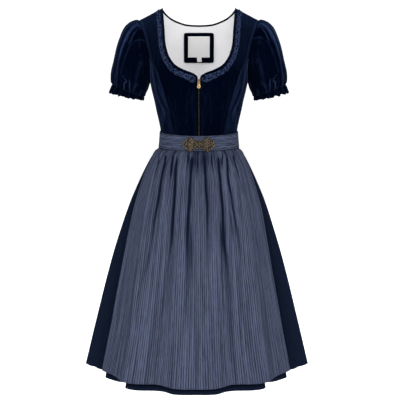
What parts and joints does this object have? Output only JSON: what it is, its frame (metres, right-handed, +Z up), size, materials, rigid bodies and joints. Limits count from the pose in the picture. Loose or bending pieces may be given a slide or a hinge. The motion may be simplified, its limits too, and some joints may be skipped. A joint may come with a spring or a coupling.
{
  "type": "dirndl",
  "caption": "Worn-shape knee-length dirndl with puffed sleeves, scooped gathered neckline, front zip, full gathered skirt, striped apron and clasped waistband.",
  "frame": {"origin": "midway between the neck ends of the two shoulder seams, where the wearer's shoulders carry the dress", "axes": "+Z up, -Y to the front of the dress, +X to the viewer's right of the front"},
  "size_m": [0.7278, 0.6207, 1.1513],
  "materials": {
    "velvet": "dark navy velvet, short pile",
    "trim": "gathered navy edging",
    "lining": "white cotton",
    "apron": "blue-grey cotton with fine stripes",
    "clasp": "antique brass, dark in the hollows",
    "skirt": "navy woven cloth",
    "brass": "dull brass",
    "label": "pale woven label"
  },
  "bodies": {
    "dress": {"bodice_front_right": "velvet", "bodice_front_left": "velvet", "bodice_side_front_right": "velvet", "bodice_side_front_left": "velvet", "bodice_side_back_right": "velvet", "bodice_side_back_left": "velvet", "bodice_back_right": "velvet", "bodice_back_left": "velvet", "sleeve_right": "velvet", "sleeve_left": "velvet", "cuff_frill_right": "velvet", "cuff_frill_left": "velvet", "neck_trim_right": "trim", "neck_trim_left": "trim", "lining_back_right": "lining", "lining_back_left": "lining", "apron_band_right": "apron", "apron_band_left": "apron", "clasp_right": "clasp", "clasp_left": "clasp", "skirt_back_right": "skirt", "skirt_back_left": "skirt", "skirt_front": "skirt", "apron": "apron", "zip_chain": "brass", "zip_slider": "brass", "label_patch": "velvet", "label": "label", "size_tag": "lining"},
    "pull_tab": {"zip_tab": "brass"}
  },
  "joints": [
    {"name": "pull_tab_hinge", "type": "hinge", "parent": "dress", "child": "pull_tab", "pos_m": [0, -0.12953, -0.2286], "axis": [-1, 0, 0], "range_deg": [0, 140]}
  ]
}
